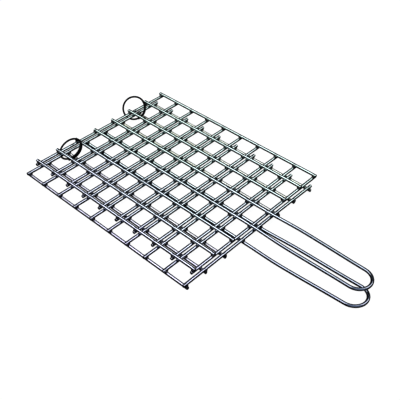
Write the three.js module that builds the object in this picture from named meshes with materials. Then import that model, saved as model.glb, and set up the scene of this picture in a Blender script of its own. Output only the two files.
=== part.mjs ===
// A wire grill basket, closed: two welded wire grilles, hinged at the back by two split rings.
// Millimetres, +Z up, +X from the hinge end to the handle end. The lower grille is the upper one
// turned over, and the two nest: the cross wires of both lie in one layer, side by side.

import * as THREE from "three";

// Wires. Each section is a polygon with flats up, down and sideways, so crossed wires meet flat to flat.
const WIRE_DIAMETER = 3.2;
const WIRE_SIDES = 12;

// The mesh of one grille.
const CROSS_WIRES = 10;
const CELL_LENGTH = 25;
const LONG_WIRES = 8;
const CELL_WIDTH = 26.2;
const FIRST_CELL_WIDTH = 25; // the jig spaces the first two long wires a little closer
const LONG_STUB = 2.7; // how far a long wire runs on past the last cross wire
const CROSS_STUB = 3.2; // how far a cross wire runs on past the last long wire

// The handle is the two middle long wires, one continuous wire with a round bend.
const HANDLE_LEG = 3; // this long wire and the next are the handle wire's legs
const HANDLE_REACH = 125; // from the last cross wire to the tip of the bend
const HANDLE_BELLY_REACH = 42; // from the last cross wire to where the legs are widest apart
const HANDLE_BELLY_WIDTH = 28.6;
const HANDLE_BEND_RADIUS = 13.2;
const HANDLE_BEND_STEPS = 12;
const UPPER_HANDLE_LEAN = -0.6; // how far each handle's tip is bent aside, towards +Y
const LOWER_HANDLE_LEAN = 3.6;
const HANDLE_LEG_STEPS = 4; // a leg bends aside in this many steps past its belly

// How the upper grille lies on the lower one.
const UPPER_SET_BACK = 5.5; // towards the hinge end, so its cross wires miss the lower ones
const UPPER_SET_ASIDE = 15.8; // towards +Y, as far as the loose rings let it lie
const NEST_GAP = 0.2; // clearance between the layers that rest on each other

// The split rings: each is a wire wound past a full turn, so that its ends overlap.
const RING_WIRE = 1.9;
const RING_SIDES = 8;
const RING_DIAMETER = 26.4; // of the wire's centre line
const RING_TURNS = 1.3;
const RING_PITCH = 2.15; // from one turn to the next, along the ring's axis
const RING_STEPS = 44;

// Where each ring lies: its centre from the first lower long wire's crossing with the back wire, the
// way its axis leans, as degrees round from +X towards -Y and degrees up, and the side where its ends
// overlap, as degrees round from its lowest side.
const RINGS = [
  { name: "right_split_ring", centre: [-4.14, -30.39, 9.25], turn: 62.2, lean: 39.8, seam: 84.3 },
  { name: "left_split_ring", centre: [0.76, -128.74, 5.61], turn: 101.8, lean: 60.1, seam: 98 },
];

const WIRE_RADIUS = WIRE_DIAMETER / 2;
const GRILLE_LENGTH = (CROSS_WIRES - 1) * CELL_LENGTH;
const GRILLE_WIDTH = FIRST_CELL_WIDTH + (LONG_WIRES - 2) * CELL_WIDTH;

const zincPlate = { color: 0xa9aeb1, roughness: 0.34, metalness: 0.9 };
const blackenedSteel = { color: 0x2b2a2c, roughness: 0.45, metalness: 0.7 };

// A wire's centre line: straight from station to station, with one section at each station.
class WirePath extends THREE.Curve {
  constructor(stations) {
    super();
    this.stations = stations;
  }

  getPoint(t, target = new THREE.Vector3()) {
    const place = t * (this.stations.length - 1);
    const index = Math.min(Math.floor(place), this.stations.length - 2);
    return target.lerpVectors(this.stations[index], this.stations[index + 1], place - index);
  }

  getUtoTmapping(u) {
    return u;
  }
}

function wireSection(diameter, sides) {
  const cornerRadius = diameter / 2 / Math.cos(Math.PI / sides);
  const corners = [];
  for (let side = 0; side < sides; side += 1) {
    const angle = ((side + 0.5) * 2 * Math.PI) / sides;
    corners.push(new THREE.Vector2(cornerRadius * Math.cos(angle), cornerRadius * Math.sin(angle)));
  }
  return new THREE.Shape(corners);
}

function wireGeometry(stations, diameter, sides) {
  return new THREE.ExtrudeGeometry(wireSection(diameter, sides), {
    extrudePath: new WirePath(stations),
    steps: stations.length - 1,
    bevelEnabled: false,
  });
}

function straightWire(start, end) {
  return wireGeometry([new THREE.Vector3(...start), new THREE.Vector3(...end)], WIRE_DIAMETER, WIRE_SIDES);
}

function makeMesh(name, geometry, finish) {
  const mesh = new THREE.Mesh(geometry, new THREE.MeshStandardMaterial(finish));
  mesh.name = name;
  return mesh;
}

// The long wires' places across a grille, from its first long wire towards the last.
function longWireOffset(index) {
  return index === 0 ? 0 : FIRST_CELL_WIDTH + (index - 1) * CELL_WIDTH;
}

// The handle wire, about the middle line between its legs: up one leg, round the bend and back.
function handleStations(lean) {
  const bendCentre = GRILLE_LENGTH + HANDLE_REACH - HANDLE_BEND_RADIUS;
  const bellyCentre = GRILLE_LENGTH + HANDLE_BELLY_REACH;
  const leg = [
    [-LONG_STUB, CELL_WIDTH / 2],
    [GRILLE_LENGTH, CELL_WIDTH / 2],
  ];
  for (let step = 0; step < HANDLE_LEG_STEPS; step += 1) {
    const share = step / HANDLE_LEG_STEPS;
    const x = THREE.MathUtils.lerp(bellyCentre, bendCentre, share);
    leg.push([x, THREE.MathUtils.lerp(HANDLE_BELLY_WIDTH / 2, HANDLE_BEND_RADIUS, share)]);
  }
  const bend = [];
  for (let step = 0; step <= HANDLE_BEND_STEPS; step += 1) {
    const angle = Math.PI / 2 - (step * Math.PI) / HANDLE_BEND_STEPS;
    bend.push([bendCentre + HANDLE_BEND_RADIUS * Math.cos(angle), HANDLE_BEND_RADIUS * Math.sin(angle)]);
  }
  const backLeg = leg.map(([x, y]) => [x, -y]).reverse();
  return [...leg, ...bend, ...backLeg].map(([x, y]) => {
    const share = Math.max(0, (x - GRILLE_LENGTH) / HANDLE_REACH);
    return new THREE.Vector3(x, y + lean * share ** 1.5, 0);
  });
}

// One grille in its own frame: the back cross wire's centre line is at x = 0 and the first long
// wire's is at y = 0. side is -1 where the long wires follow on towards -Y, and 1 towards +Y.
function makeGrille(label, side, longHeight, crossHeight, handleLean) {
  const grille = new THREE.Group();
  const longGeometry = straightWire([-LONG_STUB, 0, 0], [GRILLE_LENGTH + LONG_STUB, 0, 0]);
  const crossGeometry = straightWire([0, -CROSS_STUB, 0], [0, GRILLE_WIDTH + CROSS_STUB, 0]);
  let longNumber = 0;
  for (let index = 0; index < LONG_WIRES; index += 1) {
    if (index === HANDLE_LEG || index === HANDLE_LEG + 1) {
      continue;
    }
    longNumber += 1;
    const wire = makeMesh(`${label}_long_wire_0${longNumber}`, longGeometry, zincPlate);
    wire.position.set(0, side * longWireOffset(index), longHeight);
    grille.add(wire);
  }
  for (let index = 0; index < CROSS_WIRES; index += 1) {
    const number = String(index + 1).padStart(2, "0");
    const wire = makeMesh(`${label}_cross_wire_${number}`, crossGeometry, zincPlate);
    wire.position.set(index * CELL_LENGTH, side > 0 ? 0 : -GRILLE_WIDTH, crossHeight);
    grille.add(wire);
  }
  const handleGeometry = wireGeometry(handleStations(handleLean), WIRE_DIAMETER, WIRE_SIDES);
  const handle = makeMesh(`${label}_handle_wire`, handleGeometry, zincPlate);
  handle.position.set(0, side * (longWireOffset(HANDLE_LEG) + CELL_WIDTH / 2), longHeight);
  grille.add(handle);
  return grille;
}

// A split ring's wire about the origin and +Z, its ends overlapping at the +X side.
function ringGeometry() {
  const stations = [];
  for (let step = 0; step <= RING_STEPS; step += 1) {
    const turns = (step / RING_STEPS - 0.5) * RING_TURNS;
    const angle = Math.PI + turns * 2 * Math.PI;
    const x = (RING_DIAMETER / 2) * Math.cos(angle);
    const y = (RING_DIAMETER / 2) * Math.sin(angle);
    stations.push(new THREE.Vector3(x, y, turns * RING_PITCH));
  }
  return wireGeometry(stations, RING_WIRE, RING_SIDES);
}

// A split ring in its place, turned about its own axis so that its seam is where it should be.
function makeRing({ name, centre, turn, lean, seam }) {
  const ring = makeMesh(name, ringGeometry(), blackenedSteel);
  const turnAngle = THREE.MathUtils.degToRad(turn);
  const leanAngle = THREE.MathUtils.degToRad(lean);
  const axis = new THREE.Vector3(
    Math.cos(leanAngle) * Math.cos(turnAngle),
    -Math.cos(leanAngle) * Math.sin(turnAngle),
    Math.sin(leanAngle),
  );
  const level = new THREE.Vector3(0, 0, 1).cross(axis).normalize();
  const downhill = new THREE.Vector3().crossVectors(level, axis);
  ring.quaternion.setFromRotationMatrix(new THREE.Matrix4().makeBasis(downhill, level, axis));
  ring.rotateZ(THREE.MathUtils.degToRad(seam));
  ring.position.set(centre[0], centre[1], centre[2] + WIRE_RADIUS);
  return ring;
}

// The lower grille: long wires underneath, on the ground, and cross wires on top of them.
const lowerLongHeight = WIRE_RADIUS;
const lowerCrossHeight = lowerLongHeight + WIRE_DIAMETER;
const lowerGrille = makeGrille("lower", 1, lowerLongHeight, lowerCrossHeight, LOWER_HANDLE_LEAN);
lowerGrille.position.y = -GRILLE_WIDTH;

// The upper grille: cross wires nested between the lower ones, and long wires on top.
const upperCrossHeight = lowerLongHeight + WIRE_DIAMETER + NEST_GAP;
const upperLongHeight = upperCrossHeight + WIRE_DIAMETER;
const upperGrille = makeGrille("upper", -1, upperLongHeight, upperCrossHeight, UPPER_HANDLE_LEAN);
upperGrille.position.set(-UPPER_SET_BACK, UPPER_SET_ASIDE, 0);

const basket = new THREE.Group();
basket.add(lowerGrille, upperGrille);
for (const ring of RINGS) {
  basket.add(makeRing(ring));
}

// The origin is the middle of the closed basket's box, on the ground.
const box = new THREE.Box3().setFromObject(basket, true);
const middle = box.getCenter(new THREE.Vector3());
basket.position.set(-middle.x, -middle.y, -box.min.z);

export default basket;
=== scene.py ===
"""A closed wire grill basket on a pale studio floor, built of drawn, welded and plated wires."""

import math
import random

import bpy
from mathutils import Matrix, Vector, noise


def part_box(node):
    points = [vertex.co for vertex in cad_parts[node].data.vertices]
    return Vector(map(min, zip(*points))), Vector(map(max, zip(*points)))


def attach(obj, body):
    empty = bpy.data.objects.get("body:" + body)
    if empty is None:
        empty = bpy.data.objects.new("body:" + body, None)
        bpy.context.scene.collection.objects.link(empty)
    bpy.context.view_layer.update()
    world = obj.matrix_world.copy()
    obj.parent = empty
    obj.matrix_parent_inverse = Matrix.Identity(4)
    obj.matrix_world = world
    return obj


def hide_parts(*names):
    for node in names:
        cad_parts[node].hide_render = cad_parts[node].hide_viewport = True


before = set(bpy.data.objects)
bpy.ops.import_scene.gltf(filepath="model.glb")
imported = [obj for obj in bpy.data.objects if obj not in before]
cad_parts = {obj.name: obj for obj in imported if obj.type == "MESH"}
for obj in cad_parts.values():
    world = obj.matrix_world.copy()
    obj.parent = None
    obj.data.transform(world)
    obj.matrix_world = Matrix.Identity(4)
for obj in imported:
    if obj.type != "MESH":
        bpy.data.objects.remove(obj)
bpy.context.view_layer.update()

MM = 0.001
TURN = 2 * math.pi
UP = Vector((0, 0, 1))

# The wires, as the CAD has them.
WIRE_RADIUS = 1.6 * MM
LONG_WIRES = 6
CROSS_WIRES = 10
CELL_WIDTH = 26.2 * MM
GRILLE_LENGTH = 225 * MM
LONG_STUB = 2.7 * MM  # how far a long wire runs on past the last cross wire
HANDLE_REACH = 125 * MM  # from the last cross wire to the tip of the bend
HANDLE_BELLY_REACH = 42 * MM  # from the last cross wire to where the legs are widest apart
HANDLE_BELLY_WIDTH = 28.6 * MM
HANDLE_BEND_RADIUS = 13.2 * MM
HANDLE_LEAN = {"upper": -0.6 * MM, "lower": 3.6 * MM}  # how far the tip is bent aside, towards +Y
HANDLE_LEAN_POWER = 1.5
RING_WIRE_RADIUS = 0.95 * MM
RING_RADIUS = 13.2 * MM
RING_TURNS = 1.3
RING_PITCH = 2.15 * MM
# Centre from the back corner, in millimetres, then the axis's turn and lean and the seam's place, in
# degrees.
RINGS = {
    "right_split_ring": ((-4.14, -30.39, 9.25), 62.2, 39.8, 84.3),
    "left_split_ring": ((0.76, -128.74, 5.61), 101.8, 60.1, 98.0),
}


def centre(node):
    low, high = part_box(node)
    return (low + high) / 2


def back_corner():
    """Where the lower grille's back wire crosses its last long wire, at the long wire's height."""
    corner = centre("lower_long_wire_06")
    corner.x = centre("lower_cross_wire_01").x
    return corner


def smooth(value):
    value = min(max(value, 0.0), 1.0)
    return value * value * (3 - 2 * value)


# ---------------------------------------------------------------- meshes

WIRE_SIDES = 18
RING_SIDES = 14
STRAIGHT_GAP = 2.6 * MM  # from one section of a wire to the next
BENT_GAP = 0.9 * MM
OUT_OF_ROUND = 0.006
OUT_OF_ROUND_RATE = 90  # noise cells to the metre
MIDDLE_SHADE = 0.5  # between bright, at 0, and dull, at 1

WELD_SECTIONS = (-3, -2.4, -1.9, -1.2, 0, 1.2, 1.9, 2.4, 3)  # their places round a weld, in millimetres
WELD_ZONE = 3.1 * MM  # no other section is nearer a weld
IMPRINT_DEPTH = 0.22 * MM  # how deep an electrode flattens a wire, opposite a weld
IMPRINT_REACH = 2.1 * MM  # along the wire, from the weld
IMPRINT_SLOPE = 0.9 * MM  # the last part of its reach, where it rises to the round wire
# Round each weld the wire gets heat colour, which near the weld also carries painted shade for the corners
# where the wires cross.
HEAT_AND_PAINTED_SHADE_REACH = 4.6 * MM
HEAT_AND_PAINTED_SHADE_FALL = 2.2  # the heat, with its painted shade, falls by this power of e over its reach
HEAT_AND_PAINTED_SHADE_PATCHES = (0.75, 0.5)  # the heat and its painted shade are patchy: their middle share, and how far noise moves it
HEAT_AND_PAINTED_SHADE_PATCH_RATE = 300
HEAT_AND_PAINTED_SHADE_FACING = (0.55, 0.45)  # its share at the wire's sides, and how much more there is at the weld, where it is painted shade in the crossing's corners

END_ZONE = 0.6 * MM  # a wire's last stretch has only the sections of its sheared end
CUT_EDGE = 0.32 * MM  # the rounded edge of a sheared end
CUT_HOLLOW = 0.06 * MM  # how deep its middle is
CUT_SLOPES = (0.05, 0.2)  # the least and the most that a cut is out of square
# The sections of a sheared end: how far in, as a share of CUT_EDGE, how wide, and how bare of plating.
CUT_SECTIONS = ((1.0, 1.0, 0.0), (0.45, 0.985, 0.1), (0.12, 0.93, 0.6), (0.0, 0.83, 1.0))

BEAD_SIDES = 14
BEAD_REACH = (2.3, 2.7)  # in millimetres
BEAD_HEIGHT = (0.8, 0.95)
BEAD_LEVELS = (-0.8, -0.35, 0.0, 0.35, 0.8)  # as shares of the height
BEAD_CROWN = 0.93  # at 1 a bead would draw in to a point at its full height
BEAD_LOBES = (0.09, 0.07)  # how far its outline swells in two lobes, and in three
# Beads take high heat, which the heat tints turn near black: painted shade in the corners of each crossing.
BEAD_HEAT_AND_PAINTED_SHADE = (0.75, 1.0)

PLACE_DIGITS = 7  # lengths are rounded, so that sections at the same place become one


def stations_along(points, gap, welds):
    """Stations along a polyline, each (point, tangent, length), gap apart and closer round each weld."""
    lengths = [0.0]
    for a, b in zip(points, points[1:]):
        lengths.append(lengths[-1] + (b - a).length)
    total = lengths[-1]
    count = max(2, round(total / gap))
    places = {round(total * i / count, PLACE_DIGITS) for i in range(count + 1)}
    for weld in welds:
        places -= {p for p in places if 0 < p < total and abs(p - weld) < WELD_ZONE}
        for step in WELD_SECTIONS:
            place = weld + step * MM
            if END_ZONE < place < total - END_ZONE:
                places.add(round(place, PLACE_DIGITS))
    places = sorted(places)
    spots = []
    index = 0
    for place in places:
        while index < len(points) - 2 and place > lengths[index + 1]:
            index += 1
        share = (place - lengths[index]) / (lengths[index + 1] - lengths[index])
        spots.append(points[index].lerp(points[index + 1], share))
    tangents = []
    for i in range(len(spots)):
        before, after = spots[max(i - 1, 0)], spots[min(i + 1, len(spots) - 1)]
        tangents.append((after - before).normalized())
    return list(zip(spots, tangents, places))


class Wire:
    """A round wire that is swept section by section. welds are the lengths along it where it is welded,
    and imprint is the side that the electrodes flattened: 1 for up, -1 for down and 0 for neither.
    Each point keeps its grain, which is where it lies along and across the wire, and its marks, which are
    heat with painted shade at the crossings, bare steel and shade."""

    def __init__(self, radius, sides, up, seed, welds=(), imprint=0, shade=MIDDLE_SHADE):
        self.radius = radius
        self.sides = sides
        self.up = up
        self.seed = seed
        self.welds = welds
        self.imprint = imprint
        self.shade = shade
        self.verts, self.faces, self.grain, self.marks = [], [], [], []

    def weld_at(self, place):
        """How deep the imprint is at a length along it, and how hot the wire got there, which also sets the
        painted shade where the wires cross.
        """
        depth = heat_and_painted_shade = 0.0
        for weld in self.welds:
            far = abs(place - weld)
            depth = max(depth, IMPRINT_DEPTH * smooth((IMPRINT_REACH - far) / IMPRINT_SLOPE))
            heat_and_painted_shade = max(heat_and_painted_shade, math.exp(-((far / HEAT_AND_PAINTED_SHADE_REACH) ** 2) * HEAT_AND_PAINTED_SHADE_FALL))
        return depth, heat_and_painted_shade

    def add_section(self, point, tangent, place, scale=1.0, shear=(0, 0), bare=0.0):
        """One section's points. shear leans it, as the slopes across and above the wire."""
        side = tangent.cross(self.up).normalized()
        over = side.cross(tangent).normalized()
        depth, heat_and_painted_shade = self.weld_at(place)
        first = len(self.verts)
        for k in range(self.sides):
            angle = TURN * (k + 0.5) / self.sides
            c, s = math.cos(angle), math.sin(angle)
            spot = Vector((place * OUT_OF_ROUND_RATE + self.seed, c * 2, s * 2))
            wobble = 1 + OUT_OF_ROUND * noise.noise(spot)
            across, above = self.radius * c * scale * wobble, self.radius * s * scale * wobble
            if self.imprint:
                above = self.imprint * min(self.imprint * above, self.radius - depth)
            along = shear[0] * across + shear[1] * above
            self.verts.append(point + side * across + over * above + tangent * along)
            self.grain.append((place + along, self.radius * c, self.radius * s))
            spot = Vector((place * HEAT_AND_PAINTED_SHADE_PATCH_RATE + self.seed, c, s))
            patch = HEAT_AND_PAINTED_SHADE_PATCHES[0] + HEAT_AND_PAINTED_SHADE_PATCHES[1] * noise.noise(spot)
            facing = HEAT_AND_PAINTED_SHADE_FACING[0] - HEAT_AND_PAINTED_SHADE_FACING[1] * self.imprint * s
            # The heat mark carries painted shade too, most of it on the weld side, in the corners where the
            # wires cross.
            self.marks.append((min(1.0, heat_and_painted_shade * facing * patch), bare, self.shade, 1.0))
        return first

    def join_sections(self, a, b):
        for k in range(self.sides):
            n = (k + 1) % self.sides
            self.faces.append((a + k, b + k, b + n, a + n))

    def close_end(self, first, tangent, place, outward):
        """A slightly hollow sheared face on the end section, whose first point is given."""
        hub = len(self.verts)
        middle = sum((self.verts[first + k] for k in range(self.sides)), Vector()) / self.sides
        self.verts.append(middle - tangent * (outward * CUT_HOLLOW))
        self.grain.append((place, 0, 0))
        self.marks.append((0.0, 1.0, self.shade, 1.0))
        for k in range(self.sides):
            n = (k + 1) % self.sides
            self.faces.append((first + k, hub, first + n) if outward > 0 else (first + n, hub, first + k))


def sheared_end(point, tangent, place, outward, draw):
    """The sections that round off an end, from the body outwards. outward is 1 at a wire's end and -1
    at its start."""
    slope = draw.uniform(*CUT_SLOPES)
    roll = draw.uniform(0, TURN)
    shear = (slope * math.cos(roll), slope * math.sin(roll))
    sections = []
    for inset, scale, bare in CUT_SECTIONS:
        spot = point - tangent * outward * CUT_EDGE * inset
        sections.append((spot, tangent, place - outward * CUT_EDGE * inset, scale, shear, bare))
    return sections


def wire_mesh(name, points, gap, wire):
    """The object that a wire makes when it is swept along a polyline and closed at both ends."""
    stations = stations_along(points, gap, wire.welds)
    total = stations[-1][2]
    draw = random.Random(wire.seed)
    start = sheared_end(*stations[0], -1, draw)
    end = sheared_end(*stations[-1], 1, draw)
    body = [station for station in stations if END_ZONE < station[2] < total - END_ZONE]
    firsts = [wire.add_section(*section) for section in start[::-1] + body + end]
    for a, b in zip(firsts, firsts[1:]):
        wire.join_sections(a, b)
    wire.close_end(firsts[0], *stations[0][1:], -1)
    wire.close_end(firsts[-1], *stations[-1][1:], 1)
    return made_mesh(name, wire.verts, wire.faces, wire.grain, wire.marks)


def made_mesh(name, verts, faces, grain, marks):
    mesh = bpy.data.meshes.new(name)
    mesh.from_pydata([tuple(v) for v in verts], [], faces)
    grains = mesh.attributes.new("grain", "FLOAT_VECTOR", "POINT")
    grains.data.foreach_set("vector", [x for g in grain for x in g])
    colours = mesh.attributes.new("marks", "FLOAT_COLOR", "POINT")
    colours.data.foreach_set("color", [x for m in marks for x in m])
    mesh.validate()
    mesh.shade_smooth()
    made = bpy.data.objects.new(name, mesh)
    bpy.context.scene.collection.objects.link(made)
    return made


def bead_points(place, draw):
    """One weld bead's points, level by level from its bottom, and then its two poles."""
    reach = draw.uniform(*BEAD_REACH) * MM
    height = draw.uniform(*BEAD_HEIGHT) * MM
    turn = draw.uniform(0, TURN)
    points = []
    for level in BEAD_LEVELS:
        width = math.sqrt(1 - (level * BEAD_CROWN) ** 2)
        for k in range(BEAD_SIDES):
            angle = TURN * k / BEAD_SIDES
            two, three = math.sin(2 * (angle + turn)), math.sin(3 * angle - turn)
            far = reach * width * (1 + BEAD_LOBES[0] * two + BEAD_LOBES[1] * three)
            points.append(place + Vector((far * math.cos(angle), far * math.sin(angle), height * level)))
    return points + [place + Vector((0, 0, sign * height)) for sign in (-1, 1)]


def weld_beads(name, places, seed):
    """The metal squeezed out between the wires at each weld, as one mesh of closed beads, coloured near
    black as painted shade in the corners of each crossing.
    """
    draw = random.Random(seed)
    verts, faces, grain, marks = [], [], [], []
    for place in places:
        start = len(verts)
        verts += bead_points(place, draw)
        low, high = len(verts) - 2, len(verts) - 1
        grain += [tuple(v) for v in verts[start:]]
        # High heat makes each bead near black, as painted shade at the crossing.
        marks += [(draw.uniform(*BEAD_HEAT_AND_PAINTED_SHADE), 0.0, MIDDLE_SHADE, 1.0) for _ in verts[start:]]
        rows = [start + row * BEAD_SIDES for row in range(len(BEAD_LEVELS))]
        for a, b in zip(rows, rows[1:]):
            for k in range(BEAD_SIDES):
                n = (k + 1) % BEAD_SIDES
                faces.append((a + k, a + n, b + n, b + k))
        for k in range(BEAD_SIDES):
            n = (k + 1) % BEAD_SIDES
            faces.append((rows[0] + n, rows[0] + k, low))
            faces.append((rows[-1] + k, rows[-1] + n, high))
    return made_mesh(name, verts, faces, grain, marks)


# ---------------------------------------------------------------- materials

# Zinc plate, and the tints that multiply it. Each pair goes from one end of its range to the other.
ZINC_PATCHES = ((0.52, 0.545, 0.55), (0.70, 0.72, 0.725))
ZINC_LINES = (0.80, 0.82, 0.82)
ZINC_SPECKS = (0.36, 0.38, 0.38)
BATH_TINTS = ((0.88, 0.83, 1.0), (0.90, 1.0, 0.96))  # lavender towards -Y, greenish towards +Y
BATH_SPAN = (-100 * MM, 40 * MM)  # where one tint gives way to the other, along Y
BATH_SKEW = -0.3  # how much X adds to Y there
DULL_TINTS = ((1.2, 1.16, 1.18), (1.36, 1.2, 1.1))
# Painted shade on the handles, which dims their highlights.
HANDLE_PAINTED_SHADE = (0.70, 0.71, 0.73)
HANDLE_PAINTED_SHADE_SPAN = (50 * MM, 90 * MM)  # it comes in over this much of X, where the handles leave the mesh
# Heat colours round a weld: straw, then blue-grey, then near black, which is painted shade where the wires
# cross.
HEAT_TINTS_AND_PAINTED_SHADE = (
    (0.2, (0.9, 0.9, 0.9)),
    (0.42, (0.78, 0.66, 0.46)),
    (0.62, (0.36, 0.33, 0.36)),
    (0.82, (0.04, 0.04, 0.05)),
)
CUT_STEEL = (0.03, 0.02, 0.02)

BLACK_OXIDE = ((0.005, 0.005, 0.006), (0.018, 0.0175, 0.0185))
WORN_OXIDE = (0.045, 0.043, 0.042)
CUT_SPRING_STEEL = (0.22, 0.21, 0.2)


class Nodes:
    """A material's node tree, with one short call for each node."""

    def __init__(self, name):
        self.material = bpy.data.materials.new(name)
        self.material.use_nodes = True
        self.tree = self.material.node_tree
        self.shader = self.tree.nodes["Principled BSDF"]

    def add(self, kind, inputs=None, **settings):
        node = self.tree.nodes.new(kind)
        for key, value in settings.items():
            setattr(node, key, value)
        for key, value in (inputs or {}).items():
            self.put(node, key, value)
        return node

    def put(self, node, key, value):
        if isinstance(value, bpy.types.NodeSocket):
            self.tree.links.new(value, node.inputs[key])
        else:
            node.inputs[key].default_value = value

    def grain(self):
        return self.add("ShaderNodeAttribute", attribute_name="grain").outputs["Vector"]

    def marks(self):
        """The heat with painted shade, bare steel and shade of a wire's marks."""
        colour = self.add("ShaderNodeAttribute", attribute_name="marks").outputs["Color"]
        return tuple(self.add("ShaderNodeSeparateColor", {"Color": colour}).outputs)

    def place(self):
        return self.add("ShaderNodeTexCoord").outputs["Object"]

    def noise(self, vector, scale, detail, rough=0.55):
        keys = {"Vector": vector, "Scale": scale, "Detail": detail, "Roughness": rough}
        return self.add("ShaderNodeTexNoise", keys).outputs["Fac"]

    def streaks(self, vector, scale, detail, rough):
        """Noise that is drawn out along a vector's axes by their own scales."""
        stretched = self.add("ShaderNodeMapping", {"Vector": vector, "Scale": scale}).outputs["Vector"]
        return self.noise(stretched, 1.0, detail, rough)

    def math(self, operation, a, b=0.0, c=0.0, clamp=False):
        node = self.add("ShaderNodeMath", {0: a, 1: b, 2: c}, operation=operation, use_clamp=clamp)
        return node.outputs[0]

    def span(self, value, low, high, to_low=0.0, to_high=1.0):
        keys = {"Value": value, "From Min": low, "From Max": high, "To Min": to_low, "To Max": to_high}
        return self.add("ShaderNodeMapRange", keys).outputs["Result"]

    def mix(self, factor, a, b, blend="MIX"):
        node = self.add("ShaderNodeMix", data_type="RGBA", blend_type=blend)
        self.put(node, 0, factor)
        self.put(node, 6, a if isinstance(a, bpy.types.NodeSocket) else (*a, 1.0))
        self.put(node, 7, b if isinstance(b, bpy.types.NodeSocket) else (*b, 1.0))
        return node.outputs[2]

    def tint(self, factor, base, colour):
        return self.mix(factor, base, self.mix(1.0, base, colour, "MULTIPLY"))

    def ramp(self, factor, stops):
        node = self.add("ShaderNodeValToRGB", {"Fac": factor})
        elements = node.color_ramp.elements
        while len(elements) < len(stops):
            elements.new(0.5)
        for element, (position, colour) in zip(elements, stops):
            element.position = position
            element.color = (*colour, 1.0)
        return node.outputs["Color"]

    def bump(self, height, strength, distance, normal=None):
        keys = {"Height": height, "Strength": strength, "Distance": distance}
        if normal is not None:
            keys["Normal"] = normal
        return self.add("ShaderNodeBump", keys).outputs["Normal"]


def plated_wire():
    """Zinc-plated drawn wire: die lines along it, dull and bright patches, and heat colours at welds, which
    turn to painted shade, near black, where the wires cross.
    """
    n = Nodes("plated_wire")
    grain, place = n.grain(), n.place()
    heat_and_painted_shade, bare, shade = n.marks()
    x, y, _ = n.add("ShaderNodeSeparateXYZ", {"Vector": place}).outputs

    lines = n.streaks(grain, scale=(14, 1700, 1700), detail=4.0, rough=0.62)
    scuffs = n.streaks(grain, scale=(120, 2600, 2600), detail=2.0, rough=0.5)
    patches = n.noise(place, scale=42.0, detail=4.0, rough=0.6)
    specks = n.noise(place, scale=900.0, detail=3.0, rough=0.6)
    base = n.mix(n.span(patches, 0.32, 0.68), *ZINC_PATCHES)
    base = n.mix(n.span(lines, 0.35, 0.72), base, ZINC_LINES)
    base = n.mix(n.span(specks, 0.56, 0.74, to_high=0.55), base, ZINC_SPECKS)

    # The bath's tint drifts across the basket, mostly along Y. The handles get painted shade, which dims
    # their highlights.
    diagonal = n.math("MULTIPLY_ADD", x, BATH_SKEW, y)
    wander = n.span(n.noise(place, scale=6.0, detail=2.0), 0.3, 0.7, to_low=-0.3, to_high=0.3)
    bath = n.math("ADD", n.span(diagonal, *BATH_SPAN), wander, clamp=True)
    dull = n.span(shade, 0.6, 0.9)
    base = n.mix(1.0, base, n.mix(bath, *BATH_TINTS), "MULTIPLY")
    base = n.tint(n.span(x, *HANDLE_PAINTED_SHADE_SPAN), base, HANDLE_PAINTED_SHADE)
    base = n.tint(dull, base, n.mix(bath, *DULL_TINTS))

    # Heat colours at the welds, which end in near black: painted shade at the crossings.
    scorch_and_painted_shade = n.math("MULTIPLY_ADD", n.math("SUBTRACT", patches, 0.5), 0.5, heat_and_painted_shade)
    base = n.tint(n.span(scorch_and_painted_shade, 0.18, 0.7, to_high=0.97), base, n.ramp(scorch_and_painted_shade, HEAT_TINTS_AND_PAINTED_SHADE))
    n.put(n.shader, "Base Color", n.mix(n.math("MULTIPLY", bare, 0.85), base, CUT_STEEL))
    n.put(n.shader, "Metallic", 1.0)

    rough = n.span(lines, 0.3, 0.75, to_low=0.2, to_high=0.11)
    rough = n.math("ADD", rough, n.span(scuffs, 0.55, 0.8, to_high=0.06))
    rough = n.math("ADD", rough, n.math("MULTIPLY", dull, 0.26))
    rough = n.math("ADD", rough, n.math("MULTIPLY", heat_and_painted_shade, 0.1))
    n.put(n.shader, "Roughness", n.math("ADD", rough, n.math("MULTIPLY", bare, 0.25), clamp=True))
    normal = n.bump(lines, strength=0.35, distance=0.01 * MM)
    n.put(n.shader, "Normal", n.bump(specks, strength=0.2, distance=0.01 * MM, normal=normal))
    return n.material


def blackened_wire():
    """Spring wire with a black oxide finish, worn paler on high spots and cut bare at its ends."""
    n = Nodes("blackened_wire")
    bare = n.marks()[1]
    lines = n.streaks(n.grain(), scale=(30, 2400, 2400), detail=3.0, rough=0.6)
    wear = n.noise(n.place(), scale=160.0, detail=5.0, rough=0.65)
    base = n.mix(n.span(lines, 0.3, 0.8), *BLACK_OXIDE)
    base = n.mix(n.span(wear, 0.6, 0.78, to_high=0.8), base, WORN_OXIDE)
    n.put(n.shader, "Base Color", n.mix(bare, base, CUT_SPRING_STEEL))
    n.put(n.shader, "Metallic", 0.8)
    n.put(n.shader, "Roughness", n.span(wear, 0.3, 0.75, to_low=0.36, to_high=0.52))
    n.put(n.shader, "Normal", n.bump(lines, strength=0.3, distance=0.04 * MM))
    return n.material


def floor_paint():
    """Pale paint that gives off most of its own light, so that it stays even and nearly white."""
    n = Nodes("floor_paint")
    tone = n.noise(n.place(), scale=3.0, detail=5.0, rough=0.6)
    n.put(n.shader, "Base Color", n.mix(tone, (0.095, 0.095, 0.095), (0.105, 0.105, 0.105)))
    n.put(n.shader, "Emission Color", n.mix(tone, (0.97, 0.97, 0.97), (1.0, 1.0, 1.0)))
    n.put(n.shader, "Emission Strength", 0.96)
    n.put(n.shader, "Roughness", n.span(tone, 0.3, 0.7, to_low=0.75, to_high=0.85))
    n.put(n.shader, "Specular IOR Level", 0.15)
    return n.material


# ---------------------------------------------------------------- the two grilles

PLATED = plated_wire()
BLACKENED = blackened_wire()

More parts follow.
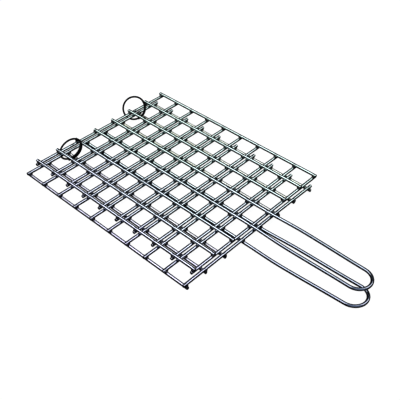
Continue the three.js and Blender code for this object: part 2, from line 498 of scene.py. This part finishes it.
# Each wire's shade is drawn from its range, from bright to dull.
LONG_WIRE_SHADES = {"lower": (0.75, 0.95), "upper": (0.1, 0.5)}
CROSS_WIRE_SHADES = (0.1, 0.65)
HANDLE_SHADES = (0.1, 0.5)

# A straight wire wanders aside by at most this much, and by less near the rings.
DRIFT = 0.3 * MM
BACK_WIRE_DRIFT = 0.05 * MM
DRIFT_START = 20 * MM  # from the back wire
DRIFT_RISE = 50 * MM
DRIFT_RATE = 9  # noise cells to the metre
DRIFT_SEED_STEP = 3.7  # how far apart in the noise two seeds are
STRAIGHT_STEPS = 60

HANDLE_LEG_STEPS = 14
HANDLE_BEND_STEPS = 48

# What is added to a grille's seed for each kind of piece.
CROSS_WIRE_SEED = 40
HANDLE_SEED = 90
BEAD_SEED = 95


def finish_piece(piece, material, body, slot, *nodes):
    piece.data.materials.append(material)
    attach(piece, body)
    if nodes:
        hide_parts(*nodes)


def numbered(label, kind, count):
    return [f"{label}_{kind}_wire_{i:02d}" for i in range(1, count + 1)]


def straight_points(start, end, axis, drift, seed):
    """A nearly straight wire along an axis. drift says how far it may wander aside at each place."""
    points = []
    for i in range(STRAIGHT_STEPS + 1):
        point = start.lerp(end, i / STRAIGHT_STEPS)
        along = point[axis]
        spot = Vector((along * DRIFT_RATE, seed * DRIFT_SEED_STEP, 0.5))
        point[1 - axis] += noise.noise(spot) * drift(along)
        points.append(point)
    return points


def build_straight_wire(node, body, axis, drift, seed, crossings, imprint, shade):
    """The wire for a CAD node along X (axis 0) or Y (axis 1), with a weld at each crossing."""
    low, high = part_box(node)
    start, end = centre(node), centre(node)
    start[axis], end[axis] = low[axis], high[axis]
    points = straight_points(start, end, axis, drift, seed)
    welds = [place - low[axis] for place in crossings]
    wire = Wire(WIRE_RADIUS, WIRE_SIDES, UP, seed, welds, imprint, shade)
    piece = wire_mesh(f"{node}_drawn", points, STRAIGHT_GAP, wire)
    finish_piece(piece, PLATED, body, "grille_wire", node)


def handle_middle(label):
    """The y of the middle line between the handle wire's legs, where they are part of the mesh."""
    return (centre(f"{label}_long_wire_03").y + centre(f"{label}_long_wire_04").y) / 2


def handle_points(label):
    """The handle wire: one leg, the bend, and the other leg, about the middle line between the legs."""
    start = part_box(f"{label}_handle_wire")[0].x
    height = centre(f"{label}_handle_wire").z
    end = start + LONG_STUB + GRILLE_LENGTH
    belly = end + HANDLE_BELLY_REACH
    bend = end + HANDLE_REACH - HANDLE_BEND_RADIUS
    half, widest = CELL_WIDTH / 2, HANDLE_BELLY_WIDTH / 2
    leg = [(start, half), (end, half)]
    for i in range(1, HANDLE_LEG_STEPS + 1):
        share = i / HANDLE_LEG_STEPS
        leg.append((end + (belly - end) * share, half + (widest - half) * smooth(share)))
    for i in range(1, HANDLE_LEG_STEPS):
        share = i / HANDLE_LEG_STEPS
        leg.append((belly + (bend - belly) * share, widest + (HANDLE_BEND_RADIUS - widest) * smooth(share)))
    outline = list(leg)
    for i in range(HANDLE_BEND_STEPS + 1):
        angle = math.pi / 2 - math.pi * i / HANDLE_BEND_STEPS
        outline.append((bend + HANDLE_BEND_RADIUS * math.cos(angle), HANDLE_BEND_RADIUS * math.sin(angle)))
    outline += [(x, -y) for x, y in reversed(leg)]
    points = []
    for x, y in outline:
        lean = HANDLE_LEAN[label] * max(0.0, (x - end) / HANDLE_REACH) ** HANDLE_LEAN_POWER
        points.append(Vector((x, handle_middle(label) + y + lean, height)))
    return points


def lengths_at(points, x):
    """How far along a polyline it crosses x, each time that it does."""
    far, found = 0.0, []
    for a, b in zip(points, points[1:]):
        if (a.x - x) * (b.x - x) <= 0 and a.x != b.x:
            found.append(far + (b - a).length * (x - a.x) / (b.x - a.x))
        far += (b - a).length
    return found


def build_handle(label, body, seed, crossings, imprint, shade):
    points = handle_points(label)
    met = [lengths_at(points, x) for x in crossings]
    welds = [lengths[0] for lengths in met] + [lengths[-1] for lengths in met]
    wire = Wire(WIRE_RADIUS, WIRE_SIDES, UP, seed, welds, imprint, shade)
    piece = wire_mesh(f"{label}_handle_wire_bent", points, BENT_GAP, wire)
    finish_piece(piece, PLATED, body, "grille_wire", f"{label}_handle_wire")


def build_grille(label, imprint, seed):
    """One grille's wires, with the welds where long and cross wires meet. imprint is the side of the
    long wires that the electrodes flattened, which is the side away from the cross wires."""
    body = f"{label}_grille"
    longs = numbered(label, "long", LONG_WIRES)
    crosses = numbered(label, "cross", CROSS_WIRES)
    cross_x = [centre(node).x for node in crosses]
    handle_y = [handle_middle(label) - CELL_WIDTH / 2, handle_middle(label) + CELL_WIDTH / 2]
    long_y = sorted([centre(node).y for node in longs] + handle_y)
    shades = random.Random(seed)

    def long_drift(x):
        return DRIFT * smooth((x - min(cross_x) - DRIFT_START) / DRIFT_RISE)

    def cross_drift(y):
        return DRIFT

    def back_drift(y):
        return BACK_WIRE_DRIFT

    for i, node in enumerate(longs):
        shade = shades.uniform(*LONG_WIRE_SHADES[label])
        build_straight_wire(node, body, 0, long_drift, seed + i, cross_x, imprint, shade)
    for i, node in enumerate(crosses):
        shade = shades.uniform(*CROSS_WIRE_SHADES)
        drift = cross_drift if i else back_drift
        build_straight_wire(node, body, 1, drift, seed + CROSS_WIRE_SEED + i, long_y, -imprint, shade)
    build_handle(label, body, seed + HANDLE_SEED, cross_x, imprint, shades.uniform(*HANDLE_SHADES))

    contact = (centre(longs[0]).z + centre(crosses[0]).z) / 2
    spots = [Vector((x, y, contact)) for x in cross_x for y in long_y]
    beads = weld_beads(f"{label}_weld_beads", spots, seed + BEAD_SEED)
    finish_piece(beads, PLATED, body, "grille_wire")


build_grille("lower", -1, 100)
build_grille("upper", 1, 300)

# ---------------------------------------------------------------- the split rings

RING_STEPS = 150


def build_ring(node, body, seed):
    offset, turn, lean, seam = RINGS[node]
    turn, lean, seam = (math.radians(a) for a in (turn, lean, seam))
    axis = Vector((math.cos(lean) * math.cos(turn), -math.cos(lean) * math.sin(turn), math.sin(lean)))
    level = UP.cross(axis).normalized()
    downhill = level.cross(axis)
    middle = back_corner() + Vector(offset) * MM
    points = []
    for i in range(RING_STEPS + 1):
        turns = (i / RING_STEPS - 0.5) * RING_TURNS
        angle = math.pi + turns * TURN + seam
        flat = downhill * math.cos(angle) + level * math.sin(angle)
        points.append(middle + flat * RING_RADIUS + axis * RING_PITCH * turns)
    piece = wire_mesh(f"{node}_wound", points, BENT_GAP, Wire(RING_WIRE_RADIUS, RING_SIDES, axis, seed))
    finish_piece(piece, BLACKENED, body, "ring_wire", node)


build_ring("right_split_ring", "right_ring", 500)
build_ring("left_split_ring", "left_ring", 501)

# ---------------------------------------------------------------- floor, light and camera

FLOOR_HALF = 18.0

CEILING_LIGHT = 0.12
ZENITH_LIGHT = 0.6
QUARTER_LIGHT = 0.6
LIGHT_COLOUR = (0.72, 0.84, 1.0, 1.0)
BACKDROP_COLOUR = (0.99, 0.995, 1.0, 1.0)
SOFTBOX_RADIANCE = 2.2

CAMERA_FROM_CORNER = Vector((0.49844, -0.46487, 0.44541))
CAMERA_AZIMUTH = 42.374  # degrees round from -Y towards +X
CAMERA_ELEVATION = 41.189
CAMERA_ROLL = 0.822
CAMERA_LENS = 60.452  # in millimetres, like the width of the sensor
CAMERA_SENSOR = 36.0

VIEW_GAMMA = 0.64  # under 1, so that the wires' thin dark edges read against the floor


def build_floor():
    mesh = bpy.data.meshes.new("studio_floor")
    corners = [(x * FLOOR_HALF, y * FLOOR_HALF, 0) for x, y in ((-1, -1), (1, -1), (1, 1), (-1, 1))]
    mesh.from_pydata(corners, [], [(0, 1, 2, 3)])
    floor = bpy.data.objects.new("studio_floor", mesh)
    bpy.context.scene.collection.objects.link(floor)
    floor.data.materials.append(floor_paint())
    floor.visible_glossy = False


def build_world():
    """A dark studio with a pale backdrop. A little light comes from the ceiling, more from straight
    above, and more from the +X, -Y quarter, which the wires reflect when they are seen from behind."""
    world = bpy.data.worlds.new("studio")
    bpy.context.scene.world = world
    world.use_nodes = True
    tree = world.node_tree

    def add(kind, inputs, **settings):
        node = tree.nodes.new(kind)
        for key, value in settings.items():
            setattr(node, key, value)
        for key, value in inputs.items():
            if isinstance(value, bpy.types.NodeSocket):
                tree.links.new(value, node.inputs[key])
            else:
                node.inputs[key].default_value = value
        return node

    def fade(value, low, high, to_high=1.0):
        keys = {"Value": value, "From Min": low, "From Max": high, "To Min": 0.0, "To Max": to_high}
        return add("ShaderNodeMapRange", keys).outputs["Result"]

    def both(operation, a, b):
        return add("ShaderNodeMath", {0: a, 1: b}, operation=operation).outputs[0]

    direction = tree.nodes.new("ShaderNodeTexCoord").outputs["Generated"]
    x, y, z = add("ShaderNodeSeparateXYZ", {0: direction}).outputs
    ceiling = fade(z, -0.02, 0.7, CEILING_LIGHT)
    zenith = fade(z, 0.85, 1.0, ZENITH_LIGHT)
    quarter = both("MULTIPLY", fade(x, 0.0, 0.35), fade(y, 0.3, -0.05))
    quarter = both("MULTIPLY", quarter, fade(z, -0.1, 0.15))
    strength = both("ADD", both("ADD", ceiling, zenith), both("MULTIPLY", quarter, QUARTER_LIGHT))
    lit = add("ShaderNodeBackground", {"Color": LIGHT_COLOUR, "Strength": strength})
    backdrop = add("ShaderNodeBackground", {"Color": BACKDROP_COLOUR})
    seen = tree.nodes.new("ShaderNodeLightPath").outputs["Is Camera Ray"]
    mixed = add("ShaderNodeMixShader", {0: seen, 1: lit.outputs[0], 2: backdrop.outputs[0]})
    tree.links.new(mixed.outputs[0], tree.nodes["World Output"].inputs["Surface"])


def build_softbox(name, location, along, size):
    """A softbox aimed at the basket. One side runs along one family of wires, and draws the bright line
    on each of them."""
    light = bpy.data.lights.new(name, "AREA")
    light.shape = "RECTANGLE"
    light.size, light.size_y = size
    light.energy = SOFTBOX_RADIANCE * math.pi * size[0] * size[1]
    lamp = bpy.data.objects.new(name, light)
    bpy.context.scene.collection.objects.link(lamp)
    lamp.location = location
    along = Vector(along)
    facing = Vector(location)
    facing = (facing - along * facing.dot(along)).normalized()
    lamp.rotation_mode = "QUATERNION"
    axes = Matrix((along, facing.cross(along), facing)).transposed()
    lamp.rotation_quaternion = axes.to_quaternion()


def build_camera():
    data = bpy.data.cameras.new("photo_view")
    data.lens, data.sensor_width = CAMERA_LENS, CAMERA_SENSOR
    data.clip_start, data.clip_end = 0.05, 40.0
    camera = bpy.data.objects.new("photo_view", data)
    bpy.context.scene.collection.objects.link(camera)
    camera.location = back_corner() + CAMERA_FROM_CORNER
    azimuth, elevation = math.radians(CAMERA_AZIMUTH), math.radians(CAMERA_ELEVATION)
    level = math.cos(elevation)
    back = Vector((math.sin(azimuth) * level, -math.cos(azimuth) * level, math.sin(elevation)))
    roll = Matrix.Rotation(math.radians(CAMERA_ROLL), 4, "Z").to_quaternion()
    camera.rotation_mode = "QUATERNION"
    camera.rotation_quaternion = (-back).to_track_quat("-Z", "Y") @ roll
    bpy.context.scene.camera = camera


build_floor()
build_world()
build_softbox("softbox_for_long_wires", location=(-0.95, -0.64, 1.5), along=(1, 0, 0), size=(2.0, 1.8))
build_softbox("softbox_for_cross_wires", location=(0.8, 1.15, 1.4), along=(0, 1, 0), size=(1.6, 1.4))
build_camera()
bpy.context.scene.view_settings.view_transform = "Standard"
bpy.context.scene.view_settings.gamma = VIEW_GAMMA
